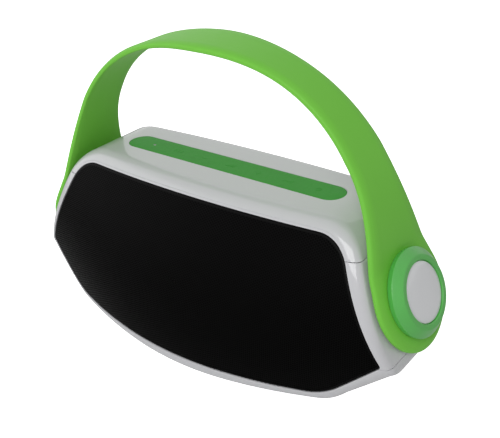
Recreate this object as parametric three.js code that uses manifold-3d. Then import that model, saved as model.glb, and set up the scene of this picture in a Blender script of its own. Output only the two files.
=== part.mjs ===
// Splash-proof carrying speaker with a rubber strap handle.
// Millimetres, +Z up, the front looks along -Y, and the four feet stand on z = 0.
import * as THREE from "three";
import { mergeVertices } from "three/addons/utils/BufferGeometryUtils.js";
import Module from "manifold-3d";

const wasm = await Module();
wasm.setup();

// ---- Driving dimensions -------------------------------------------------------------------------

const gap = 0.3; // between pieces that touch

// Body seen from the front. The ends lean in towards the top by endTilt.
const bodyTop = 115.3;
const bodyBottom = 1.2;
const bottomRise = 6.3; // how much higher the underside is at its corners than in the middle
const endTilt = THREE.MathUtils.degToRad(23);
const hubX = 136; // outer face of the strap pad, on the hub's axis
const hubZ = 69.9;
const padStandOff = 1.6; // free space between the end face and the pad
const sideCornerZ = 33.9; // where the end face turns into the lower chamfer
const chamferRun = 35.7; // how far the bottom corner stands inside the side corner
const cornerRadius = { top: 32, side: 8, bottom: 22, underside: 700 };

// Grille seen from the front.
const lip = { top: 7.1, topCorner: 9.2, side: 4.6, bottomCorner: 5.3 }; // white round the grille
const grilleSideZ = 42.2;
const grilleBottomZ = 14.2; // at its bottom corners
const grilleBottom = 12; // in the middle
const grilleEndBow = 0.2; // its ends curve in by this, halfway up
const grilleRadius = { top: 22.8, side: 2, bottom: 30, underside: 1500 };

// Front face: how far it stands in front of the hub's axis at three heights, and how far it falls
// back 100 mm to either side of the middle.
const faceBow = { bottom: 65.8, middle: 57.2, top: 30.6 };
const faceSweep = { bottom: 17.3, middle: 10.3, top: 5.3 };
const lipProud = 0.4; // the white lip stands this far in front of the grille
const lipDepth = { top: 7.5, end: 4, chamfer: 19.5, underside: 6 }; // how deep the lip rolls back
const lipThickness = 3.6;

// Back face: leans back by backLean and falls forward 100 mm to either side by backSweep.
const backTopY = 39;
const backLean = THREE.MathUtils.degToRad(5.9);
const backSweep = { top: 3.7, bottom: 12 };
const backEdge = 6.6; // rolled edge round the back
const backEndEdge = 8.8; // the roll is wider by this at the ends
const backBorder = 9; // white border round the rear panel

const wall = 3;
const upperSeamZ = 98;
const lowerSeamZ = 41;

// Baffle that carries the drivers.
const baffleThickness = 4;
const baffleLean = THREE.MathUtils.degToRad(9);
const baffleY = -31.4; // its front face at the height of the side corner
const ledgeDepth = 4; // inner rib that the baffle rests on
const ledgeWidth = 12;

const panelThickness = 3;
const panelRecess = 0.6;
const panelLedge = 8; // the panel rests on a border this wide
const rearLedgeDepth = 8.5; // from the back plane to the inner side of that border

const grilleThickness = 1.2;
const grilleSkirt = 4.5;

// Drivers.
const driverEndRoom = 35; // from a driver's rim to the end face
const driverZ = 60;
const driverRadius = 38;
const basketSeat = 3; // width of the flange that bears on the baffle
const basketBackRadius = driverRadius - 5; // just behind the baffle
const coneRadius = 29.5;
const surroundWidth = 5;
const driverDepth = 34;
const magnetRadius = 27;

// Keypad strip on the top.
const stripEndMargin = 24; // from the strip's end to the end face
const stripHalfWidth = 9.7;
const stripY = 6.4;
const stripThickness = 1.8;
const stripLedge = 2;
const lampInset = 21; // from the strip's end to the lamp, and to the middle of the last key
const powerInset = 18;
const keyNames = ["previous", "minus", "play", "plus", "next", "power"];
const keyMargin = 0.6; // a key's long sides clear the ledge under the strip by this
const keySpace = 7.4; // between two keys
const keyCorner = 4;
const keyTravel = 0.6;
const lampRadius = 1.6;
const boardThickness = 1.6;
const switchHeight = 2.4;

// Hub at each end of the strap.
const padRadius = 34;
const hubRadius = 26.2;
const hubHeight = 8;
const hubBase = 1.4; // the hub's skirt clears the pad by this
const badgeRadius = 17.6;
const badgeThickness = 1.8;
const stemRadius = 5.5;
const stemClearance = 0.7;
const stemHeadRadius = 10;
const nutRadius = 9;

// Strap. Its middle line runs straight for strapStraight from the hub, then arches over the body.
const strapThickness = 4;
const strapStraight = 21.8;
const strapLeave = 13.9;
const handRoom = 80.9; // free height between the body's top and the strap
const crownShoulder = 21.5; // how far the arch's shoulder stands inside the hub
const strapCrownHalf = 18.9;
const strapWaistHalf = 15.1;
const strapWaistAt = 138; // along the middle line, from the hub
const flareStart = THREE.MathUtils.degToRad(14.3); // where the pad's circle turns into the leg
const flareEnd = 86.5;
const strapSplitAt = 54; // the leg turns about its own length here

// Port bay in the rear panel.
const bay = { z: 42, width: 54, height: 15, depth: 9, wall: 1.8 };
const coverThickness = 2.4;
const coverGap = 0.4;

// Feet and screws.
const foot = { x: 76, front: -26, back: 28, radius: 8.5, recess: 1.4 };
const screw = { head: 3, headHeight: 2, shank: 1.3, length: 9 };

// ---- Small helpers ------------------------------------------------------------------------------

const { sin, cos, tan, PI, sqrt, abs, hypot } = Math;

function material(color, roughness, metalness = 0) {
  return new THREE.MeshStandardMaterial({ color, roughness, metalness });
}

const whitePlastic = material(0xe4e4e6, 0.28);
const blackPlastic = material(0x1c1c1e, 0.5);
const blackMetal = material(0x0c0c0d, 0.45, 0.7);
const greenRubber = material(0x6fb04a, 0.5);
const greenPlastic = material(0x55a850, 0.35);
const greyRubber = material(0x3a3b3d, 0.8);
const steel = material(0xb6b8ba, 0.35, 1);
const darkSteel = material(0x4a4c50, 0.4, 1);
const boardGreen = material(0x1e5a3a, 0.55);
const paperCone = material(0x202124, 0.75);
const wrapBlue = material(0x2d4f9a, 0.45);

const group = new THREE.Group();

function add(name, geometry, surface) {
  const piece = new THREE.Mesh(geometry, surface);
  piece.name = name;
  group.add(piece);
  return piece;
}

// A geometry as a solid that can be cut and joined.
function solid(geometry) {
  const bare = geometry.index ? geometry.toNonIndexed() : geometry.clone();
  bare.deleteAttribute("normal");
  bare.deleteAttribute("uv");
  const merged = mergeVertices(bare, 1e-4);
  return new wasm.Manifold(
    new wasm.Mesh({
      numProp: 3,
      vertProperties: new Float32Array(merged.attributes.position.array),
      triVerts: new Uint32Array(merged.index.array),
    }),
  );
}

function geometryOf(body) {
  const mesh = body.getMesh();
  const geometry = new THREE.BufferGeometry();
  geometry.setAttribute("position", new THREE.BufferAttribute(mesh.vertProperties, 3));
  geometry.setIndex(new THREE.BufferAttribute(mesh.triVerts, 1));
  return geometry;
}

function cut(base, ...tools) {
  return geometryOf(tools.reduce((left, tool) => left.subtract(solid(tool)), solid(base)));
}

function join(...parts) {
  return geometryOf(parts.map(solid).reduce((all, part) => all.add(part)));
}

function common(base, tool) {
  return geometryOf(solid(base).intersect(solid(tool)));
}

// Skin over a list of rings that hold the same number of points, closed at both ends.
function loft(rings) {
  const count = rings[0].length;
  const middle = (ring) => ring.reduce((sum, p) => sum.add(p), new THREE.Vector3()).divideScalar(count);
  const position = [];
  const triangle = (a, b, c) => position.push(...a.toArray(), ...b.toArray(), ...c.toArray());
  const first = middle(rings[0]);
  const last = middle(rings.at(-1));
  for (let j = 0; j < count; j++) {
    const k = (j + 1) % count;
    triangle(first, rings[0][k], rings[0][j]);
    triangle(last, rings.at(-1)[j], rings.at(-1)[k]);
    for (let i = 0; i + 1 < rings.length; i++) {
      triangle(rings[i][j], rings[i][k], rings[i + 1][k]);
      triangle(rings[i][j], rings[i + 1][k], rings[i + 1][j]);
    }
  }
  const geometry = new THREE.BufferGeometry();
  geometry.setAttribute("position", new THREE.Float32BufferAttribute(position, 3));
  return geometry;
}

// Solid of revolution about Z from [radius, height] pairs, counter-clockwise seen from +Y.
function turned(profile, sides = 32) {
  const points = profile.map(([r, h]) => new THREE.Vector2(r, h));
  return new THREE.LatheGeometry(points, sides).rotateX(PI / 2);
}

function discProfile(radius, low, high) {
  return [[0, low], [radius, low], [radius, high], [0, high]];
}

function box(x, y, z, cx = 0, cy = 0, cz = 0) {
  return new THREE.BoxGeometry(x, y, z).translate(cx, cy, cz);
}

function roundedRectangle(width, height, radius) {
  const shape = new THREE.Shape();
  const x = width / 2 - radius;
  const y = height / 2 - radius;
  shape.absarc(x, y, radius, 0, PI / 2);
  shape.absarc(-x, y, radius, PI / 2, PI);
  shape.absarc(-x, -y, radius, PI, 1.5 * PI);
  shape.absarc(x, -y, radius, 1.5 * PI, 2 * PI);
  return shape;
}

function prism(shape, low, high, curveSegments = 2) {
  const options = { depth: high - low, bevelEnabled: false, curveSegments };
  return new THREE.ExtrudeGeometry(shape, options).translate(0, 0, low);
}

// Parabola through its values at the low end, the middle and the high end of 0..1.
function parabola({ bottom, middle, top }, t) {
  return bottom * (1 - t) * (1 - 2 * t) + 4 * middle * t * (1 - t) + top * t * (2 * t - 1);
}

// ---- Outlines in the front view -----------------------------------------------------------------

const endX = (z) => hubX - (strapThickness + padStandOff) / cos(endTilt) - tan(endTilt) * (z - hubZ);
const bottomCornerX = endX(sideCornerZ) - chamferRun;
const grilleTop = bodyTop - lip.top;
const grilleTopCornerX = endX(grilleTop) - lip.topCorner;
const driverX = endX(driverZ) - driverRadius - driverEndRoom;
const grilleSide = { x: endX(grilleSideZ) - lip.side, z: grilleSideZ };
const grilleBottomCorner = { x: bottomCornerX - lip.bottomCorner, z: grilleBottomZ };
const undersideZ = (x) => bodyBottom + (bottomRise * abs(x)) / bottomCornerX;

// Corner points of the right half, from the top down; the last one is in the middle of the underside.
function bodyCorners() {
  return [
    { x: endX(bodyTop), z: bodyTop, radius: cornerRadius.top },
    { x: endX(sideCornerZ), z: sideCornerZ, radius: cornerRadius.side },
    { x: bottomCornerX, z: bodyBottom + bottomRise, radius: cornerRadius.bottom },
    { x: 0, z: bodyBottom, radius: cornerRadius.underside },
  ];
}

function grilleCorners() {
  return [
    { x: grilleTopCornerX, z: grilleTop, radius: grilleRadius.top },
    { x: grilleSide.x, z: grilleSide.z, radius: grilleRadius.side },
    { x: grilleBottomCorner.x, z: grilleBottomCorner.z, radius: grilleRadius.bottom },
    { x: 0, z: grilleBottom, radius: grilleRadius.underside },
  ];
}

// The same corners with every edge moved inwards by distance.
function inset(corners, distance) {
  const edge = (a, b) => {
    const length = hypot(b.x - a.x, b.z - a.z);
    const normal = { x: (b.z - a.z) / length, z: -(b.x - a.x) / length };
    return { x: a.x + normal.x * distance, z: a.z + normal.z * distance, dx: b.x - a.x, dz: b.z - a.z };
  };
  const [top, side, bottom, middle] = corners;
  const edges = [edge({ x: 0, z: top.z }, top), edge(top, side), edge(side, bottom), edge(bottom, middle)];
  const crossing = (p, q, radius) => {
    const t = ((q.x - p.x) * q.dz - (q.z - p.z) * q.dx) / (p.dx * q.dz - p.dz * q.dx);
    return { x: p.x + t * p.dx, z: p.z + t * p.dz, radius: Math.max(radius - distance, 1) };
  };
  const moved = [0, 1, 2].map((i) => crossing(edges[i], edges[i + 1], corners[i].radius));
  const last = edges[3];
  moved.push({ x: 0, z: last.z - (last.x * last.dz) / last.dx, radius: middle.radius });
  return moved;
}

const arcSteps = [5, 3, 4, 6]; // top, side and bottom corners, and the middle of the underside
const edgeSteps = [5, 4, 3, 3]; // half the top, the end, the chamfer, half the underside

// Closed outline with rounded corners as [x, z] pairs. All outlines have as many points.
function outline(corners) {
  const half = [];
  const bounds = [{ x: 0, z: corners[0].z }, ...corners, { x: -corners[2].x, z: corners[2].z }];
  let from = bounds[0];
  corners.forEach((corner, i) => {
    const before = bounds[i];
    const after = bounds[i + 2];
    const a = unit(before.x - corner.x, before.z - corner.z);
    const b = unit(after.x - corner.x, after.z - corner.z);
    const halfAngle = Math.acos(a.x * b.x + a.z * b.z) / 2;
    const reach = corner.radius / tan(halfAngle);
    const start = { x: corner.x + a.x * reach, z: corner.z + a.z * reach };
    const bisector = unit(a.x + b.x, a.z + b.z);
    const centre = {
      x: corner.x + (bisector.x * corner.radius) / sin(halfAngle),
      z: corner.z + (bisector.z * corner.radius) / sin(halfAngle),
    };
    for (let k = 0; k < edgeSteps[i]; k++) {
      const t = k / edgeSteps[i];
      half.push([from.x + (start.x - from.x) * t, from.z + (start.z - from.z) * t]);
    }
    const startAngle = Math.atan2(start.z - centre.z, start.x - centre.x);
    const turn = 2 * halfAngle - PI; // clockwise
    const isLast = i === corners.length - 1;
    const steps = arcSteps[i];
    for (let k = 0; k < (isLast ? steps / 2 : steps); k++) {
      const angle = startAngle + (turn * k) / steps;
      half.push([centre.x + corner.radius * cos(angle), centre.z + corner.radius * sin(angle)]);
    }
    const endAngle = startAngle + turn;
    from = { x: centre.x + corner.radius * cos(endAngle), z: centre.z + corner.radius * sin(endAngle) };
    if (isLast) half.push([0, centre.z + corner.radius * sin(startAngle + turn / 2)]);
  });
  const mirrored = half.slice(1, -1).reverse().map(([x, z]) => [-x, z]);
  return [...half, ...mirrored];
}

// The ends of a grille outline, above its side corners, drawn in by a shallow curve.
function bowEnds(points) {
  return points.map(([x, z]) => {
    const t = (z - grilleSide.z) / (grilleTop - grilleSide.z);
    const inwards = t > 0 && t < 1 && abs(x) > grilleTopCornerX / 2 ? grilleEndBow * sin(PI * t) : 0;
    return [x - Math.sign(x) * inwards, z];
  });
}

function unit(x, z) {
  const length = hypot(x, z);
  return { x: x / length, z: z / length };
}

function blendOutlines(a, b, t) {
  return a.map(([x, z], i) => [x + (b[i][0] - x) * t, z + (b[i][1] - z) * t]);
}

const centreZ = 62;
function shrink(points, share) {
  return points.map(([x, z]) => [x * share, centreZ + (z - centreZ) * share]);
}

// ---- Front, back and baffle surfaces as y over (x, z), measured from the hub's axis --------------

function frontY(x, z) {
  const t = (z - grilleBottomCorner.z) / (grilleTop - grilleBottomCorner.z);
  return -(parabola(faceBow, t) - (x / 100) ** 2 * parabola(faceSweep, t));
}
function backY(x, z) {
  const t = (z - bodyBottom) / (bodyTop - bodyBottom);
  const sweep = backSweep.bottom + (backSweep.top - backSweep.bottom) * t;
  return backTopY + tan(backLean) * (bodyTop - z) - (x / 100) ** 2 * sweep;
}
const baffleFrontY = (x, z) => baffleY + tan(baffleLean) * (z - grilleSideZ);

const ring = (points, yOf) => points.map(([x, z]) => new THREE.Vector3(x, yOf(x, z), z));
const moved = (yOf, distance) => (x, z) => yOf(x, z) + distance;
const capShares = [0.18, 0.42, 0.64, 0.84];

// Solid between two surfaces inside one outline.
function slab(points, nearY, farY, nearIsFlat = false, farIsFlat = false) {
  const near = nearIsFlat ? [] : capShares.map((share) => ring(shrink(points, share), nearY));
  const far = farIsFlat ? [] : capShares.map((share) => ring(shrink(points, share), farY)).reverse();
  return loft([...near, ring(points, nearY), ring(points, farY), ...far]);
}

const bodyOutline = outline(bodyCorners());
const grilleOutline = bowEnds(outline(grilleCorners()));
const openingOutline = bowEnds(outline(inset(grilleCorners(), -gap)));
const rearOutline = outline(inset(bodyCorners(), backBorder));
const wallOutline = outline(inset(bodyCorners(), wall));
const ledgeOutline = outline(inset(bodyCorners(), wall + ledgeWidth));

// ---- Body shells --------------------------------------------------------------------------------

// Depth of the lip's roll at a point of the outline, from the way the outline faces there.
function lipRoll(i) {
  const count = bodyOutline.length;
  const [ax, az] = bodyOutline[(i + count - 1) % count];
  const [bx, bz] = bodyOutline[(i + 1) % count];
  const down = -(bx - ax) / hypot(bx - ax, bz - az); // -1 on the top, 0 on an upright end
  if (down < 0) return lipDepth.end + (lipDepth.top - lipDepth.end) * down ** 2;
  const slope = unit(endX(sideCornerZ) - bottomCornerX, sideCornerZ - bodyBottom - bottomRise).x;
  if (down < slope) return lipDepth.end + ((lipDepth.chamfer - lipDepth.end) * down) / slope;
  return lipDepth.chamfer + ((lipDepth.underside - lipDepth.chamfer) * (down - slope)) / (1 - slope);
}

function bodyBlock() {
  const lipY = moved(frontY, -lipProud);
  const quarter = [0, 22.5, 45, 67.5, 90].map(THREE.MathUtils.degToRad);
  const front = quarter.map((angle) => {
    const points = blendOutlines(grilleOutline, bodyOutline, sin(angle));
    return points.map(([x, z], i) => new THREE.Vector3(x, lipY(x, z) + lipRoll(i) * (1 - cos(angle)), z));
  });
  const innerBack = outline(
    inset(bodyCorners(), backEdge).map((corner) => ({ ...corner, x: Math.max(corner.x - backEndEdge, 0) })),
  );
  const back = quarter.map((angle) =>
    ring(blendOutlines(innerBack, bodyOutline, sin(angle)), moved(backY, -backEdge * (1 - cos(angle)))),
  );
  const cap = capShares.map((share) => ring(shrink(grilleOutline, share), lipY));
  return loft([...cap, ...front, ...back.reverse()]);
}

// The hollow: in front of the baffle's ledge, through the ledge, behind it, and both openings.
function hollows() {
  const far = 200;
  const lipBack = moved(frontY, lipThickness - lipProud);
  const baffleBack = moved(baffleFrontY, baffleThickness + gap);
  const frontRoom = slab(wallOutline, lipBack, baffleBack, false, true);
  const middleRoom = slab(ledgeOutline, lipBack, moved(backY, -rearLedgeDepth), false, true);
  const ledgeBack = moved(baffleBack, ledgeDepth);
  const rearRoom = slab(wallOutline, ledgeBack, moved(backY, -rearLedgeDepth), true, true);
  const frontOpening = slab(openingOutline, () => -far, baffleFrontY, true, true);
  const seatY = moved(backY, -panelRecess - panelThickness - gap);
  const panelSeat = slab(rearOutline, seatY, () => far, true, true);
  const rearOpening = slab(
    outline(inset(bodyCorners(), backBorder + panelLedge)), baffleBack, () => far, true, true,
  );
  const basketRoom = discProfile(basketBackRadius + 1, -baffleThickness - 2 * ledgeDepth, 0);
  const basketRooms = [-1, 1].map((side) => onBaffle(turned(basketRoom, 24), side * driverX));
  return [frontRoom, middleRoom, rearRoom, frontOpening, panelSeat, rearOpening, ...basketRooms];
}

const wide = 400;
const above = (z) => box(wide, wide, wide, 0, 0, z + wide / 2);
const below = (z) => box(wide, wide, wide, 0, 0, z - wide / 2);
const between = (low, high, side) => box(wide, wide, high - low, (side * wide) / 2, 0, (low + high) / 2);

// ---- Keypad -------------------------------------------------------------------------------------

const stripHalfLength = endX(bodyTop) - stripEndMargin;
const keyPitch = (2 * stripHalfLength - lampInset - powerInset) / keyNames.length;
const keySize = { x: keyPitch - keySpace, y: 2 * (stripHalfWidth - stripLedge - keyMargin) };
const lampX = lampInset - stripHalfLength;
const keyX = (i) => lampX + keyPitch * (i + 1);
const stripTop = bodyTop;
const stripBottom = stripTop - stripThickness;
const boardTop = stripBottom - wall - switchHeight - keyTravel;

function onStrip(geometry, x = 0) {
  return geometry.translate(x, stripY, 0);
}

function stadium(halfLength, halfWidth, low, high) {
  return prism(roundedRectangle(2 * halfLength, 2 * halfWidth, halfWidth), low, high, 4);
}

function keyShape(grow = 0) {
  const corner = Math.min(keyCorner, keySize.x / 2 - gap, keySize.y / 2 - gap);
  return roundedRectangle(keySize.x + 2 * grow, keySize.y + 2 * grow, corner + grow);
}

function keypadCuts() {
  const seat = stadium(stripHalfLength + gap, stripHalfWidth + gap, stripBottom - gap, bodyTop + 10);
  const through = stadium(
    stripHalfLength - stripLedge, stripHalfWidth - stripLedge, stripBottom - 2 * wall, bodyTop,
  );
  return [onStrip(seat), onStrip(through)];
}

// Posts that hang the key board from the underside of the top.
const postX = stripHalfLength + 6;
function keypadPosts() {
  const low = boardTop + gap;
  const high = bodyTop - wall + 0.5;
  return [-1, 1].map((side) => onStrip(turned(discProfile(3, low, high), 12), side * postX));
}

function buildKeypad() {
  const sheet = stadium(stripHalfLength, stripHalfWidth, stripBottom, stripTop);
  const keyHoles = keyNames.map((_, i) =>
    prism(keyShape(gap), stripBottom - 1, stripTop + 1).translate(keyX(i), 0, 0),
  );
  const lampHole = turned(discProfile(lampRadius + gap, stripBottom - 1, stripTop + 1), 12);
  add("keypad_strip", onStrip(cut(sheet, ...keyHoles, lampHole.translate(lampX, 0, 0))), greenRubber);

  const stemBottom = boardTop + switchHeight + keyTravel + gap / 3;
  keyNames.forEach((name, i) => {
    const cap = prism(keyShape(), stripBottom, stripTop);
    const stem = turned(discProfile(2.2, stemBottom, stripBottom + 0.5), 12);
    add(`key_${name}`, onStrip(join(cap, stem), keyX(i)), greenRubber);
  });
  const lens = turned(
    [[0, boardTop + gap], [lampRadius, boardTop + gap], [lampRadius, stripTop], [0, stripTop]], 12,
  );
  add("status_lens", onStrip(lens, lampX), material(0xd8f0d0, 0.15));

  const board = box(2 * postX + 10, 2 * (stripHalfWidth - stripLedge), boardThickness, 0, 0,
    boardTop - boardThickness / 2);
  const switches = keyNames.map((_, i) =>
    box(6, 6, switchHeight + 0.5, keyX(i), 0, boardTop + (switchHeight - 0.5) / 2),
  );
  add("keypad_board", onStrip(join(board, ...switches)), boardGreen);
}

// ---- Hubs and their pins ------------------------------------------------------------------------

// Places a geometry built along +Z on the hub's axis, pointing out of the body on one side.
function onHub(geometry, side) {
  return geometry.rotateY(side * (PI / 2 - endTilt)).translate(side * hubX, 0, hubZ);
}

const endFace = -(strapThickness + padStandOff); // along the hub's axis, from the pad's outer face
const nutThickness = 3;
const headBottom = 0.7;
const headTop = 3;
const headRoom = 0.8; // over the head, inside the hub

function buildHub(side, word) {
  const innerWall = endFace - wall - 1.2;
  const pin = [
    [0, innerWall - nutThickness - 2], [stemRadius, innerWall - nutThickness - 2], [stemRadius, headBottom],
    [stemHeadRadius, headBottom], [stemHeadRadius, headTop], [0, headTop],
  ];
  add(`pivot_pin_${word}`, onHub(turned(pin, 20), side), steel);
  const nut = turned(discProfile(nutRadius, innerWall - nutThickness, innerWall), 6);
  const thread = turned(discProfile(stemRadius + gap, innerWall - nutThickness - 1, innerWall + 1), 20);
  add(`pivot_nut_${word}`, onHub(cut(nut, thread), side), darkSteel);

  const hollow = stemHeadRadius + 1.5;
  const seatDepth = 1; // the badge sits this far below the hub's flat ring
  const badgeSeat = hubHeight - seatDepth - badgeThickness;
  const cap = [
    [hollow, hubBase], [hubRadius, hubBase], [hubRadius, 3.4], [hubRadius - 0.5, 3.9],
    [hubRadius - 4.2, hubHeight - 0.4], [hubRadius - 5, hubHeight], [badgeRadius + 0.9, hubHeight],
    [badgeRadius + gap, hubHeight - 0.8], [badgeRadius + gap, badgeSeat], [0, badgeSeat],
    [0, headTop + headRoom], [hollow, headTop + headRoom], [hollow, hubBase],
  ];
  add(`hub_cap_${word}`, onHub(turned(cap, 36), side), greenPlastic);
  const crown = hubHeight - seatDepth;
  const badge = [
    [0, badgeSeat + gap], [badgeRadius, badgeSeat + gap], [badgeRadius, crown - 0.3],
    [badgeRadius - 1, crown], [badgeRadius * 0.6, crown + 0.35], [0, crown + 0.55],
  ];
  add(`hub_badge_${word}`, onHub(turned(badge, 24), side), whitePlastic);
}

// Flat land and hole for the pin in each end of the body.
function hubHole(side) {
  return onHub(turned(discProfile(stemRadius + gap, endFace - 30, 10), 20), side);
}
function hubPad(side) {
  return onHub(turned(discProfile(nutRadius + 3, endFace - wall - 1.2 + gap, endFace - 0.5), 20), side);
}

// ---- Strap --------------------------------------------------------------------------------------

const legX = -sin(endTilt);
const legZ = cos(endTilt);
const outX = cos(endTilt);
const outZ = sin(endTilt);

// Middle line of the right half from the hub to the crown, and a table of its length.
const strapStart = { x: hubX - (outX * strapThickness) / 2, z: hubZ - (outZ * strapThickness) / 2 };
const along = (s) => new THREE.Vector2(strapStart.x + legX * s, strapStart.z + legZ * s);
const crownZ = bodyTop + handRoom + strapThickness / 2;
const arch = new THREE.CubicBezierCurve(
  along(strapStraight),
  along(strapStraight + strapLeave),
  new THREE.Vector2(hubX - crownShoulder, crownZ),
  new THREE.Vector2(0, crownZ),
);
const archLength = arch.getLength();
const strapLength = strapStraight + archLength;

function strapPoint(s) {
  return s < strapStraight ? along(s) : arch.getPointAt(Math.min((s - strapStraight) / archLength, 1));
}
function strapTangent(s) {
  if (s < strapStraight) return new THREE.Vector2(legX, legZ);
  return arch.getTangentAt(Math.min((s - strapStraight) / archLength, 1));
}

function legHalf(s) {
  const t = (s - strapWaistAt) / (strapLength - strapWaistAt);
  const share = t < 0 ? t * t : (t * t * (5 - 2 * t ** 3)) / 3; // level at the crown
  return strapWaistHalf + (strapCrownHalf - strapWaistHalf) * share;
}
function strapHalf(s) {
  const start = padRadius * sin(flareStart);
  if (s <= start) return sqrt(Math.max(padRadius ** 2 - s ** 2, 0.25));
  if (s >= flareEnd) return legHalf(s);
  const t = (s - start) / (flareEnd - start);
  const slope = -tan(flareStart) * (flareEnd - start);
  const h = { a: 2 * t ** 3 - 3 * t ** 2 + 1, b: t ** 3 - 2 * t ** 2 + t, c: -2 * t ** 3 + 3 * t ** 2 };
  return h.a * padRadius * cos(flareStart) + h.b * slope + h.c * legHalf(flareEnd);
}

// One cross-section: a flat bar with small chamfers.
function strapSection(s, half, side) {
  const point = strapPoint(s);
  const tangent = strapTangent(s);
  const normal = { x: tangent.y, z: -tangent.x };
  const thick = strapThickness / 2;
  const chamfer = Math.min(0.8, half / 3);
  const loop = [
    [half, -thick + chamfer], [half, thick - chamfer],
    [half - chamfer, thick], [-half + chamfer, thick],
    [-half, thick - chamfer], [-half, -thick + chamfer],
    [-half + chamfer, -thick], [half - chamfer, -thick],
  ];
  const order = side > 0 ? loop.reverse() : loop;
  return order.map(([w, n]) => {
    const x = point.x + normal.x * n;
    return new THREE.Vector3(side * x, w, point.y + normal.z * n);
  });
}

function strapStations(from, to, step) {
  const count = Math.ceil((to - from) / step);
  return Array.from({ length: count + 1 }, (_, i) => from + ((to - from) * i) / count);
}

function buildStrap() {
  const round = Array.from({ length: 11 }, (_, i) => -padRadius * cos((PI / 2) * (i / 10.01)));
  for (const [side, word] of [[-1, "left"], [1, "right"]]) {
    const stations = [...round, ...strapStations(4, strapSplitAt, 5)];
    const body = loft(stations.map((s) => strapSection(s, strapHalf(s), side)));
    const hole = onHub(turned(discProfile(stemRadius + stemClearance, -20, 10), 20), side);
    add(`strap_end_${word}`, cut(body, hole), greenRubber);
  }
  const half = strapStations(strapSplitAt + gap, strapLength, 8);
  const right = half.map((s) => strapSection(s, strapHalf(s), 1));
  const mirror = (section) => section.map((p) => new THREE.Vector3(-p.x, p.y, p.z));
  const left = right.slice(0, -1).reverse().map(mirror);
  add("strap_band", loft([...right, ...left]), greenRubber);
}

// ---- Drivers ------------------------------------------------------------------------------------

// Places a geometry built along +Z on the baffle at a driver's centre, pointing forwards.
function onBaffle(geometry, x, z = driverZ, out = 0) {
  geometry.translate(0, 0, out).rotateX(PI / 2 - baffleLean);
  return geometry.translate(x, baffleFrontY(x, z), z);
}

function buildDriver(side, word) {
  const x = side * driverX;
  const flange = 2.2;
  const backPlate = -driverDepth + 10;
  const throat = 14;
  const shell = 1.6;
  const seatRadius = coneRadius + surroundWidth + gap;
  const basket = [
    [throat, backPlate], [magnetRadius - 4, backPlate], [basketBackRadius, -baffleThickness - 1],
    [driverRadius - basketSeat, gap], [driverRadius, gap], [driverRadius, flange], [seatRadius, flange],
    [seatRadius, gap], [basketBackRadius - shell, -baffleThickness - 1],
    [magnetRadius - 4 - shell, backPlate + shell], [throat, backPlate + shell], [throat, backPlate],
  ];
  add(`driver_basket_${word}`, onBaffle(turned(basket, 24), x), darkSteel);
  const magnet = [
    [0, -driverDepth - 2], [magnetRadius - 1, -driverDepth - 2], [magnetRadius, -driverDepth - 1],
    [magnetRadius, backPlate - gap - 1], [magnetRadius - 1, backPlate - gap], [throat, backPlate - gap],
    [throat, backPlate - 5], [11, backPlate - 5], [11, backPlate - gap], [0, backPlate - gap],
  ];
  add(`driver_magnet_${word}`, onBaffle(turned(magnet, 24), x), blackMetal);
  const roll = surroundWidth / 2;
  const rollMiddle = coneRadius + gap + roll;
  const arc = (radius, from, to, count) => Array.from({ length: count }, (_, i) => {
    const angle = from + ((to - from) * i) / (count - 1);
    return [rollMiddle + radius * cos(angle), 1 + radius * sin(angle)];
  });
  const surround = [...arc(roll - 0.1, 0, PI, 5), ...arc(roll - 0.9, PI, 0, 5)];
  surround.push(surround[0]);
  add(`driver_surround_${word}`, onBaffle(turned(surround, 24), x), greyRubber);
  const coil = 12.4;
  const cone = [
    [coil - 0.8, backPlate - 2], [coil, backPlate - 2], [coil, -11], [coneRadius, 0.4], [coneRadius, 1.6],
    [coil + 1.2, -9.4], [coil * 0.75, -6.6], [coil * 0.4, -5.2], [0, -4.8], [0, -5.6],
    [coil * 0.4, -6], [coil * 0.75, -7.4], [coil - 0.8, -9.6], [coil - 0.8, backPlate - 2],
  ];
  add(`driver_cone_${word}`, onBaffle(turned(cone, 24), x), paperCone);
}

// ---- Baffle and grille --------------------------------------------------------------------------

const baffleScrewInset = wall + ledgeWidth - screw.head - 1;
const baffleScrews = [
  [0, bodyTop - baffleScrewInset],
  [0, bodyBottom + baffleScrewInset],
  [-endX(centreZ) + baffleScrewInset / cos(endTilt), centreZ],
  [endX(centreZ) - baffleScrewInset / cos(endTilt), centreZ],
];

function buildFront() {
  const edge = outline(inset(bodyCorners(), wall + gap));
  const plate = slab(edge, baffleFrontY, moved(baffleFrontY, baffleThickness), true, true);
  const holes = [-1, 1].map((side) =>
    onBaffle(turned(discProfile(driverRadius - basketSeat + gap, -20, 20), 24), side * driverX),
  );
  const screwHoles = baffleScrews.map(([x, z]) =>
    onBaffle(turned(discProfile(screw.shank + gap, -10, 10), 10), x, z),
  );
  add("front_baffle", cut(plate, ...holes, ...screwHoles), blackPlastic);

  const backOutline = bowEnds(outline(inset(grilleCorners(), grilleThickness)));
  const backFace = moved(frontY, grilleThickness);
  const rings = [
    ...capShares.map((share) => ring(shrink(grilleOutline, share), frontY)),
    ring(grilleOutline, frontY),
    ring(grilleOutline, moved(frontY, grilleSkirt)),
    ring(backOutline, moved(frontY, grilleSkirt)),
    ring(backOutline, backFace),
    ...capShares.map((share) => ring(shrink(backOutline, share), backFace)).reverse(),
  ];
  add("front_grille", loft(rings), blackMetal);
}

// ---- Rear panel, ports and cover ----------------------------------------------------------------

const rearScrewInset = backBorder + panelLedge / 2 + gap;
const rearScrewX = 62;
const rearScrews = [-1, 1].flatMap((side) => [
  [side * rearScrewX, bodyTop - rearScrewInset],
  [side * (endX(centreZ) - rearScrewInset / cos(endTilt)), centreZ],
  [side * rearScrewX, undersideZ(rearScrewX) + rearScrewInset],
]);

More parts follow.
